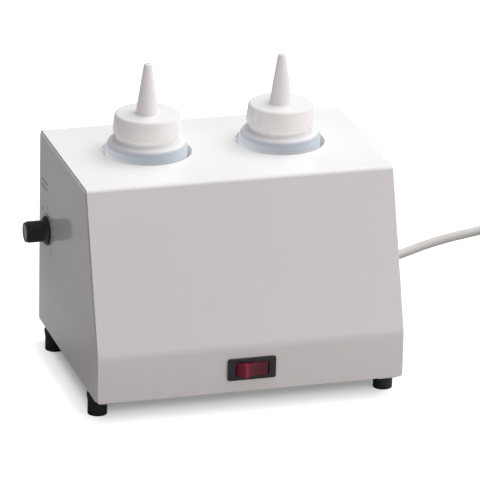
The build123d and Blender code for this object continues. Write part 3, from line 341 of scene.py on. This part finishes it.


# Lens colours along X, with a painted highlight along the crest and the left facet painted lighter
# than the right: 0 is x = -0.0125 m and 1 is x = 0.0125 m
LENS_SPAN = (-0.0125, 0.0125)
LENS_TONES_AND_CREST_HIGHLIGHT = [
    (0.0, (0.10, 0.006, 0.014)), (0.24, (0.13, 0.008, 0.018)), (0.30, (0.24, 0.014, 0.045)),
    (0.40, (0.11, 0.014, 0.022)), (1.0, (0.075, 0.012, 0.018)),
]
LENS_GLOW_AND_CREST_HIGHLIGHT = [
    (0.0, (0.30, 0.012, 0.03)), (0.24, (0.45, 0.015, 0.05)), (0.31, (0.85, 0.03, 0.11)),
    (0.42, (0.30, 0.02, 0.035)), (1.0, (0.22, 0.01, 0.025)),
]


def red_lens(name):
    m = Finish(name)
    fine = m.noise(scale=300.0, detail=2.0)
    slow = m.noise(scale=160.0)
    along = m.remap(m.position()["X"], span=LENS_SPAN, to=(0.0, 1.0))
    drift = m.ramp(slow, [(0.3, 0.85), (0.7, 1)])
    # the faint glow and the bright band on the crest are painted light, a painted highlight in both
    # tone and glow
    m.set(
        Base_Color=m.mix(m.ramp(along, LENS_TONES_AND_CREST_HIGHLIGHT), drift, factor=1.0, blend="MULTIPLY"),
        Emission_Color=m.ramp(along, LENS_GLOW_AND_CREST_HIGHLIGHT),
        Emission_Strength=0.07,
        Roughness=m.remap(fine, to=(0.16, 0.24)),
        IOR=1.5,
        Specular_IOR_Level=0.3,
        Coat_Weight=0.15,
        Coat_Roughness=0.05,
    )
    m.bump(fine, strength=0.02)
    return m.material


def woven(name, colour):
    """Two crossing sets of bands."""
    m = Finish(name)
    level = m.wave(scale=420.0, distortion=1.5, wave_type="BANDS", bands_direction="Z")
    slant = m.wave(scale=300.0, wave_type="BANDS", bands_direction="DIAGONAL")
    weave = m.math("MULTIPLY", level, slant)
    tone = m.tones(weave, colour, factors=(0.72, 1.05), span=(0.0, 0.8))
    m.set(Base_Color=tone, Roughness=0.85)
    m.bump(weave, strength=0.6, distance=0.0004)
    return m.material


def striped(name, first, second):
    m = Finish(name)
    bands = m.wave(scale=90.0, wave_type="BANDS", bands_direction="X")
    m.set(Base_Color=m.ramp(bands, [(0.48, first), (0.52, second)]), Roughness=0.42)
    m.bump(m.noise(scale=500.0), strength=0.05)
    return m.material


EVEN = (1, 1, 1)           # unstretched noise on turned metal
FINISHES = {
    "painted_steel": powder_coat("paint_powder_coat", (0.765, 0.729, 0.718)),
    "galvanised_steel": galvanised("galvanised_sheet"),
    "zinc_fasteners": turned_metal("zinc_plate", (0.66, 0.67, 0.69), rough=0.30, stretch=EVEN),
    "black_rubber": plain(
        "rubber_black", (0.022, 0.022, 0.023), rough=0.62, spread=0.25, grain=1400, relief=0.35
    ),
    "silicone_pad": plain("silicone", (0.72, 0.73, 0.73), rough=0.55, grain=700),
    "spun_aluminium": cup_metal("aluminium_spun"),
    "heater_steel": turned_metal(
        "heater_steel", (0.50, 0.48, 0.45), rough=0.4, stretch=(1, 1, 20)
    ),
    "glass_fibre": woven("glass_fibre_sleeve", (0.86, 0.85, 0.81)),
    "clear_polyethylene": frosted("polyethylene_bottle"),
    "milky_cap_plastic": cap_plastic("polyethylene_cap", (0.745, 0.712, 0.708)),
    "foam_seal": plain("foam_seal", (0.88, 0.88, 0.86), rough=0.8, grain=1800, relief=0.4),
    "black_plastic": plain(
        "plastic_black", (0.020, 0.021, 0.024), rough=0.34, spread=0.2, grain=1500, relief=0.12
    ),
    "grey_knob_cap": knob_inset("knob_inset", KNOB_Y * MM, KNOB_Z * MM, KNOB_DISC_R * MM),
    "red_rocker_plastic": red_lens("rocker_lens"),
    "lamp_glass": plain("lamp_glass", (0.9, 0.8, 0.7), rough=0.1, Transmission_Weight=0.9),
    "white_plastic": plain("plastic_white", (0.78, 0.78, 0.77), rough=0.35, grain=1100),
    "brass_contacts": turned_metal("brass", (0.72, 0.57, 0.28), rough=0.25, stretch=EVEN),
    "phenolic_brown": plain(
        "phenolic", (0.09, 0.045, 0.03), rough=0.4, spread=0.3, grain=800, relief=0.2
    ),
    "steel_spindle": turned_metal(
        "steel_turned", (0.58, 0.58, 0.60), rough=0.25, stretch=(60, 1, 1)
    ),
    "copper_sensor": turned_metal("copper", (0.72, 0.36, 0.22)),
    "fuse_ceramic": plain("fuse_ceramic", (0.86, 0.83, 0.76), rough=0.5),
    "cable_grey": plain(
        "cable_sheath", (0.495, 0.46, 0.445), rough=0.5, spread=0.03, grain=600, relief=0.15
    ),
    "wire_brown": plain("wire_brown", (0.16, 0.06, 0.03), rough=0.4),
    "wire_blue": plain("wire_blue", (0.03, 0.10, 0.42), rough=0.4),
    "wire_green_yellow": striped("wire_earth_stripe", (0.10, 0.34, 0.05), (0.75, 0.68, 0.05)),
}
INK = plain("print_ink", (0.12, 0.12, 0.135), rough=0.5, spread=0.2, grain=2500)
WHITE_INK = plain("pointer_ink", (0.85, 0.85, 0.84), rough=0.45, grain=2000)

slot_of = {part["node"]: part["material_slot"] for part in frame["record"]["subparts"]}
for name, piece in frame["nodes"].items():
    finish = FINISHES[slot_of[name]]
    if not piece.material_slots:
        piece.data.materials.append(finish)
    for slot in piece.material_slots:
        slot.material = finish


# ------------------------------------------------------------------ mesh helpers
def make(name, verts, faces, material, smooth=True, sharp_angle=35.0):
    """Object from millimetre vertices, with doubles merged and normals facing out."""
    mesh = bpy.data.meshes.new(name)
    mesh.from_pydata([(x * MM, y * MM, z * MM) for x, y, z in verts], [], faces)
    mesh.validate()
    mesh.update()
    bm = bmesh.new()
    bm.from_mesh(mesh)
    bmesh.ops.remove_doubles(bm, verts=bm.verts, dist=1e-7)
    bmesh.ops.recalc_face_normals(bm, faces=bm.faces)
    bm.to_mesh(mesh)
    bm.free()
    if smooth:
        mesh.polygons.foreach_set("use_smooth", [True] * len(mesh.polygons))
        mesh.set_sharp_from_angle(angle=math.radians(sharp_angle))
    made = bpy.data.objects.new(name, mesh)
    bpy.context.scene.collection.objects.link(made)
    mesh.materials.append(material)
    return made


def rounded(outline, step=10.0):
    """Turns a closed outline of (r, z, corner radius) into (r, z) points with arcs."""
    points = []
    for index, (r, z, radius) in enumerate(outline):
        corner = Vector((r, z))
        if radius <= 0:
            points.append((corner.x, corner.y))
            continue
        following = outline[(index + 1) % len(outline)]
        back = (Vector(outline[index - 1][:2]) - corner).normalized()
        ahead = (Vector(following[:2]) - corner).normalized()
        half = math.acos(max(-1, min(1, back.dot(ahead)))) / 2
        reach = radius / math.tan(half)
        centre = corner + (back + ahead).normalized() * (radius / math.sin(half))
        start, end = corner + back * reach, corner + ahead * reach
        first = math.atan2(start.y - centre.y, start.x - centre.x)
        last = math.atan2(end.y - centre.y, end.x - centre.x)
        turn = (last - first + math.pi) % (2 * math.pi) - math.pi
        count = max(2, int(abs(math.degrees(turn)) / step))
        for j in range(count + 1):
            angle = first + turn * j / count
            points.append(
                (centre.x + radius * math.cos(angle), centre.y + radius * math.sin(angle))
            )
    return points


def subdivide(points, longest=4.0):
    """Splits the edges of a closed outline evenly, by how often `longest` fits in each."""
    result = []
    for index, point in enumerate(points):
        start, end = Vector(point), Vector(points[(index + 1) % len(points)])
        count = max(1, int((end - start).length / longest))
        for j in range(count):
            split = start.lerp(end, j / count)
            result.append((split.x, split.y))
    return result


def lathe(name, outline, centre, material, seg=144, wobble=None):
    """Turns a closed (r, z) outline about the upright axis through `centre`."""
    verts, faces = [], []
    count = len(outline)
    for j in range(seg):
        angle = 2 * math.pi * j / seg
        for r, z in outline:
            reach = r + (wobble(r, z, angle) if wobble else 0)
            x = centre[0] + reach * math.cos(angle)
            y = centre[1] + reach * math.sin(angle)
            verts.append((x, y, z))
    for j in range(seg):
        here, there = j * count, (j + 1) % seg * count
        for i in range(count):
            following = (i + 1) % count
            starts_on_axis = outline[i][0] < 1e-6
            ends_on_axis = outline[following][0] < 1e-6
            if starts_on_axis and ends_on_axis:
                continue
            if starts_on_axis:
                faces.append((here + i, there + following, here + following))
            elif ends_on_axis:
                faces.append((here + i, there + i, there + following))
            else:
                faces.append((here + i, there + i, there + following, here + following))
    return make(name, verts, faces, material)


THREAD_PITCH, THREAD_TURNS = 4.23, 1.2


def ridge(name, centre, base_r, crest_r, base_w, crest_w, start_z, material, seg=96):
    """A helical thread ridge that fades in and out at its ends."""
    verts, faces = [], []
    count = int(seg * THREAD_TURNS)
    for j in range(count + 1):
        t = j / count
        angle = 2 * math.pi * THREAD_TURNS * t
        fade = min(1.0, t / 0.08, (1 - t) / 0.08)
        fade = fade * fade * (3 - 2 * fade)
        crest = base_r + (crest_r - base_r) * (0.08 + 0.92 * fade)
        z = start_z + THREAD_PITCH * THREAD_TURNS * t
        section = (
            (base_r, -base_w / 2), (crest, -crest_w / 2), (crest, crest_w / 2), (base_r, base_w / 2)
        )
        for r, rise in section:
            x = centre[0] + r * math.cos(angle)
            y = centre[1] + r * math.sin(angle)
            verts.append((x, y, z + rise))
    for j in range(count):
        here, there = j * 4, (j + 1) * 4
        for i in range(4):
            following = (i + 1) % 4
            faces.append((here + i, here + following, there + following, there + i))
    end = count * 4
    faces.append((0, 3, 2, 1))
    faces.append((end, end + 1, end + 2, end + 3))
    return make(name, verts, faces, material, sharp_angle=50)


# ------------------------------------------------------------------ bottles and caps
WELL_X, WELL_Y = 46.0, 21.5                  # bottle axes stand at x = -WELL_X and +WELL_X
BODY_R, WALL, BASE_Z = 27.0, 1.0, 29.5
INNER_R = BODY_R - WALL
SHOULDER_Z = 156.0
BEAD_R, BEAD_Z, BEAD_H = 20.6, 161.6, 2.2    # bead round the foot of the neck
NECK_R, BORE_R, NECK_TOP = 17.6, 16.0, 175.4
THREAD_Z = BEAD_Z + 5.2

# Both outlines: r, z, corner radius
BOTTLE_OUTLINE = [
    # outside, from under the base up to the neck's rim
    (0, BASE_Z + 2.0, 0), (BODY_R - 9, BASE_Z + 2.0, 1.0), (BODY_R - 6, BASE_Z, 1.0),
    (BODY_R, BASE_Z, 3.0), (BODY_R, SHOULDER_Z, 1.6), (BODY_R - 1.5, SHOULDER_Z + 2.7, 0.9),
    (BEAD_R + 0.4, BEAD_Z, 0), (BEAD_R, BEAD_Z, 0), (BEAD_R, BEAD_Z + BEAD_H, 0.7),
    (NECK_R, BEAD_Z + BEAD_H, 0.5), (NECK_R, NECK_TOP, 0.4),
    # inside, back down to the floor of the bottle
    (BORE_R, NECK_TOP, 0.4), (BORE_R, BEAD_Z + 0.4, 1.0), (BEAD_R, BEAD_Z - 1.2, 0.8),
    (INNER_R - 1.3, SHOULDER_Z + 2.0, 0.6), (INNER_R, SHOULDER_Z - 0.6, 1.2),
    (INNER_R, BASE_Z + 1.2, 2.0), (BODY_R - 6.3, BASE_Z + 1.2, 0.8),
    (BODY_R - 9.3, BASE_Z + 3.2, 0.8), (0, BASE_Z + 3.2, 0),
]

CAP_Z, CAP_TOP, TIP_Z = 164.6, 178.0, 212.0
CAP_FOOT_R, CAP_TOP_R, CAP_BORE_R = 22.8, 21.5, 19.4
CAP_ROOF = 1.6
CAP_OUTLINE = [
    # outside, up the skirt and the cone
    (CAP_BORE_R, CAP_Z, 0.3), (CAP_FOOT_R - 1.2, CAP_Z, 0.5), (CAP_FOOT_R, CAP_Z + 1.4, 0.7),
    (CAP_TOP_R, CAP_TOP, 2.2), (7.6, CAP_TOP, 0.9), (2.6, TIP_Z, 0.9),
    # inside, down the bore of the cone
    (1.0, TIP_Z, 0), (1.2, 206.0, 2.0), (5.4, CAP_TOP - CAP_ROOF, 0.8),
    (CAP_BORE_R, CAP_TOP - CAP_ROOF, 0.8),
]
bottle_outline = subdivide(rounded(BOTTLE_OUTLINE))
cap_outline = subdivide(rounded(CAP_OUTLINE))


def blown_wobble(sign):
    """Small wander of the body wall, since blow moulded walls are never quite true."""
    def wobble(r, z, angle):
        if r < 24:
            return 0.0
        where = Vector((math.cos(angle) * 1.3 + sign, math.sin(angle) * 1.3, z * 0.02))
        return 0.10 * noise.noise(where)
    return wobble


def fit(piece, rides, replaces=None):
    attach(piece, rides)
    if replaces:
        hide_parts(replaces)


def bottle(side, sign, centre):
    slot = "clear_polyethylene"
    milky = FINISHES[slot]
    shell = lathe(
        f"bottle_shell_{side}", bottle_outline, centre, milky, wobble=blown_wobble(sign)
    )
    fit(shell, f"bottle_{side}", replaces=f"bottle_{side}")
    thread = ridge(
        f"bottle_thread_{side}", centre, base_r=NECK_R - 0.1, crest_r=NECK_R + 1.15,
        base_w=2.2, crest_w=1.2, start_z=THREAD_Z, material=milky,
    )
    fit(thread, f"bottle_{side}")


def bottle_cap(side, centre):
    slot = "milky_cap_plastic"
    milky = FINISHES[slot]
    shell = lathe(f"cap_shell_{side}", cap_outline, centre, milky)
    fit(shell, f"cap_{side}", replaces=f"bottle_cap_{side}")
    # half a pitch above the bottle's thread, so the two ridges interleave
    thread = ridge(
        f"cap_thread_{side}", centre, base_r=CAP_BORE_R + 0.1, crest_r=18.15,
        base_w=2.1, crest_w=1.1, start_z=THREAD_Z + THREAD_PITCH / 2, material=milky,
    )
    fit(thread, f"cap_{side}")


for side, sign in (("left", -1), ("right", 1)):
    centre = (sign * WELL_X, WELL_Y)
    bottle(side, sign, centre)
    bottle_cap(side, centre)


# ------------------------------------------------------------------ prints on the left side
INK_X = (-105.04, -104.995)                # outer and inner face of the ink
DIAL_START, DIAL_SWEEP = 225.0, -270.0     # degrees, clockwise seen from outside
DIAL_R, DIAL_CHORDS, DIAL_LINE = 11.6, 54, 0.35
TICKS, TICK_LINE = 13, 0.45
LONG_TICK_R, SHORT_TICK_R = 13.6, 12.7
NUMERAL_R, NUMERAL_LINE = 16.4, 0.42
NUMERAL_W, NUMERAL_HALF_H = 1.5, 1.3
RULE_Y, RULE_Z, RULE_LINE = (KNOB_Y, 70.3), (119.7, 115.8), 1.0

# Strokes of the numerals 0 to 6: u0, v0, u1, v1, with u to the viewer's right and v up
NUMERALS = [
    [(0, 0, 0, 2), (0, 2, 1, 2), (1, 2, 1, 0), (1, 0, 0, 0)],
    [(0.5, 0, 0.5, 2), (0.5, 2, 0.15, 1.6)],
    [(0, 2, 1, 2), (1, 2, 1, 1), (1, 1, 0, 1), (0, 1, 0, 0), (0, 0, 1, 0)],
    [(0, 2, 1, 2), (1, 2, 1, 0), (0.2, 1, 1, 1), (0, 0, 1, 0)],
    [(0, 2, 0, 1), (0, 1, 1, 1), (1, 2, 1, 0)],
    [(1, 2, 0, 2), (0, 2, 0, 1), (0, 1, 1, 1), (1, 1, 1, 0), (1, 0, 0, 0)],
    [(1, 2, 0, 2), (0, 2, 0, 0), (0, 0, 1, 0), (1, 0, 1, 1), (1, 1, 0, 1)],
]


def dial_angle(step, steps):
    return DIAL_START + DIAL_SWEEP * step / steps


def dial_point(r, degrees):
    """(y, z) on the dial; seen from outside, the viewer's right is -Y."""
    angle = math.radians(degrees)
    return KNOB_Y - r * math.cos(angle), KNOB_Z + r * math.sin(angle)


def print_strokes(name, strokes):
    """Prints (start, end, width) strokes on the housing as thin bars."""
    verts, faces = [], []
    for (y0, z0), (y1, z1), width in strokes:
        along = Vector((y1 - y0, z1 - z0)).normalized()
        side = Vector((-along.y, along.x)) * width / 2
        first = len(verts)
        for x in INK_X:
            verts += [
                (x, y0 - side.x, z0 - side.y), (x, y1 - side.x, z1 - side.y),
                (x, y1 + side.x, z1 + side.y), (x, y0 + side.x, z0 + side.y),
            ]
        faces.append((first, first + 1, first + 2, first + 3))
        faces.append((first + 7, first + 6, first + 5, first + 4))
        for k in range(4):
            following = (k + 1) % 4
            faces.append((first + k, first + 4 + k, first + 4 + following, first + following))
    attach(make(name, verts, faces, INK, smooth=False), "housing")


def dial_scale():
    strokes = []
    for k in range(DIAL_CHORDS):
        start = dial_point(DIAL_R, dial_angle(k, DIAL_CHORDS))
        end = dial_point(DIAL_R, dial_angle(k + 1, DIAL_CHORDS))
        strokes.append((start, end, DIAL_LINE))
    for k in range(TICKS):
        angle = dial_angle(k, TICKS - 1)
        tip_r = LONG_TICK_R if k % 2 == 0 else SHORT_TICK_R
        strokes.append((dial_point(DIAL_R, angle), dial_point(tip_r, angle), TICK_LINE))
    print_strokes("dial_scale_print", strokes)


def dial_numerals():
    strokes = []
    for k, numeral in enumerate(NUMERALS):
        y, z = dial_point(NUMERAL_R, dial_angle(k, len(NUMERALS) - 1))
        for u0, v0, u1, v1 in numeral:
            start, end = (
                (y - (u - 0.5) * NUMERAL_W, z + (v - 1) * NUMERAL_HALF_H)
                for u, v in ((u0, v0), (u1, v1))
            )
            strokes.append((start, end, NUMERAL_LINE))
    print_strokes("dial_numerals_print", strokes)


def knob_pointer():
    """Line across the knob's skirt, painted just proud of it."""
    half_width, proud = 0.45, 0.04
    # r from the knob's axis, x
    skirt = [(7.5, -108.62), (8.25, -107.45), (9.6, -106.62), (9.98, -106.42), (10.06, -105.7)]
    angle = math.radians(DIAL_START)
    out_y, out_z = -math.cos(angle), math.sin(angle)
    verts = []
    for r, x in skirt:
        for s in (-half_width, half_width):
            y = KNOB_Y + r * out_y - s * out_z
            z = KNOB_Z + r * out_z + s * out_y
            verts.append((x - proud, y, z))
    faces = [(2 * i, 2 * i + 1, 2 * i + 3, 2 * i + 2) for i in range(len(skirt) - 1)]
    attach(make("knob_pointer_line", verts, faces, WHITE_INK), "knob")


dial_scale()
dial_numerals()
print_strokes(
    "panel_rules_print", [((RULE_Y[0], z), (RULE_Y[1], z), RULE_LINE) for z in RULE_Z]
)
knob_pointer()


# ------------------------------------------------------------------ floor
def floor_paper(name):
    """Pale paper whose brightness to the camera is shaped; other rays see a plain grey."""
    m = Finish(name)
    grain = m.noise(scale=900.0)
    slow = m.noise(scale=2.0, detail=2.0)
    m.set(
        Base_Color=m.ramp(slow, [(0.3, 0.90), (0.7, 0.93)]),
        Roughness=0.95,
        Specular_IOR_Level=0.1,
    )
    m.bump(grain, strength=0.05, distance=0.0002)
    position = m.position()

    def fade(source, span, to=(1.0, 0.0)):
        return m.remap(source, span=span, to=to, interpolation_type="SMOOTHSTEP")

    # brighter out to the left and towards the front
    left = fade(position["X"], span=(-0.1045, -0.1175), to=(0.0, 0.25))
    front = fade(position["Y"], span=(-0.045, -0.085), to=(0.70, 0.89))
    glow = m.math("ADD", left, front)
    # contact shade under the whole housing
    under_x = fade(m.math("ABSOLUTE", position["X"]), span=(0.094, 0.106))
    under_y = fade(m.math("ABSOLUTE", position["Y"]), span=(0.054, 0.079))
    glow = m.math("MULTIPLY_ADD", m.math("MULTIPLY", under_x, under_y), -0.27, glow)
    # deeper in from the left edge, between a front and a back limit
    in_from_left = fade(position["X"], span=(-0.095, -0.106))
    short_of_back = fade(position["Y"], span=(0.064, 0.078))
    short_of_front = fade(position["Y"], span=(-0.046, -0.060))
    deep_shade = m.math("MULTIPLY", m.math("MULTIPLY", in_from_left, short_of_back), short_of_front)
    glow = m.math("MULTIPLY_ADD", deep_shade, -0.17, glow)

    light = m.node("Emission", {"Color": (1, 1, 1, 1), "Strength": glow})
    black = m.node("BsdfDiffuse", {"Color": (0, 0, 0, 1)})
    grey = m.node("BsdfDiffuse", {"Color": (0.36, 0.35, 0.355, 1)})
    # sockets of a shader mix: factor, first shader, second shader
    dimmed = m.node("MixShader", {0: 0.5, 1: m.surface.outputs[0], 2: black.outputs[0]})
    seen = m.node("AddShader", {0: dimmed.outputs[0], 1: light.outputs[0]})
    to_camera = m.node("LightPath").outputs["Is Camera Ray"]
    by_ray = m.node("MixShader", {0: to_camera, 1: grey.outputs[0], 2: seen.outputs[0]})
    m.feed(m.output.inputs[0], by_ray.outputs[0])
    return m.material


def studio_floor(half=7000.0, cells=24):
    steps = [-half + 2 * half * i / cells for i in range(cells + 1)]
    verts = [(x, y, 0.0) for x in steps for y in steps]
    row = cells + 1
    faces = []
    for i in range(cells):
        for j in range(cells):
            first = i * row + j
            faces.append((first, first + row, first + row + 1, first + 1))
    make("studio_floor", verts, faces, floor_paper("floor_paper"))


# ------------------------------------------------------------------ world, lights, camera
def studio_world():
    """Grey surround, darker towards -X."""
    world = bpy.data.worlds.new("studio_world")
    bpy.context.scene.world = world
    world.use_nodes = True
    g = Graph(world.node_tree)
    direction = g.node("TexCoord").outputs["Generated"]
    axes = g.node("SeparateXYZ", {0: direction}).outputs
    across = g.remap(axes["X"], span=(-1, 1), to=(0.0, 1.0))
    greys = g.ramp(across, [(0.0, 0.34), (0.36, 0.50), (0.5, 0.84), (1.0, 1.0)])
    background = g.node("Background", {"Color": greys, "Strength": 0.41})
    g.node("OutputWorld", {0: background.outputs[0]})


def area(name, location, target, size, power, colour, glossy=True):
    """Rectangular light aimed at `target`, hidden from the camera."""
    light = bpy.data.lights.new(name, "AREA")
    light.shape = "RECTANGLE"
    light.size, light.size_y = size
    light.energy = power
    light.color = colour
    lamp = bpy.data.objects.new(name, light)
    lamp.location = location
    lamp.rotation_mode = "QUATERNION"
    aim = Vector(target) - Vector(location)
    lamp.rotation_quaternion = aim.to_track_quat("-Z", "Y")
    lamp.visible_camera = False
    lamp.visible_glossy = glossy
    bpy.context.scene.collection.objects.link(lamp)


def lights():
    # the overhead key is split in two, so that only part of its power shows in reflections
    overhead = dict(
        location=(0.62, 0.36, 1.75), target=(0, 0, 0.05), size=(1.7, 1.7), colour=(0.94, 1.0, 1.02)
    )
    area("key_overhead", power=41.5, glossy=False, **overhead)
    area("key_sheen", power=19.0, **overhead)
    area(
        "front_fill", location=(1.25, -2.0, 0.80), target=(0, 0, 0.08), size=(1.2, 1.2),
        power=17.5, colour=(1.0, 0.93, 0.91), glossy=False,
    )
    area(
        "left_fill", location=(-1.6, -0.45, 0.30), target=(-0.1, 0, 0.06), size=(1.0, 0.8),
        power=1.1, colour=(1.0, 0.95, 0.98),
    )


def camera(location, yaw, pitch, roll):
    """Yaw turns from +Y towards +X, pitch looks down, roll turns about the view; in degrees."""
    data = bpy.data.cameras.new("camera")
    view = bpy.data.objects.new("camera", data)
    bpy.context.scene.collection.objects.link(view)
    bpy.context.scene.camera = view
    data.sensor_width = 36.0
    data.lens = 352.99
    data.clip_start, data.clip_end = 0.05, 60.0
    yaw, pitch, roll = math.radians(yaw), math.radians(pitch), math.radians(roll)
    forward = Vector(
        (math.sin(yaw) * math.cos(pitch), math.cos(yaw) * math.cos(pitch), -math.sin(pitch))
    )
    right = Vector((math.cos(yaw), -math.sin(yaw), 0))
    up = right.cross(forward)
    view_x = right * math.cos(roll) + up * math.sin(roll)
    view_y = up * math.cos(roll) - right * math.sin(roll)
    turn = Matrix((view_x, view_y, -forward)).transposed()
    view.matrix_world = Matrix.Translation(location) @ turn.to_4x4()


studio_floor()
studio_world()
lights()
camera(location=(-0.8296, -2.8025, 1.2096), yaw=16.743, pitch=20.922, roll=1.3196)

view_settings = bpy.context.scene.view_settings
view_settings.view_transform = "Standard"
view_settings.look = "None"
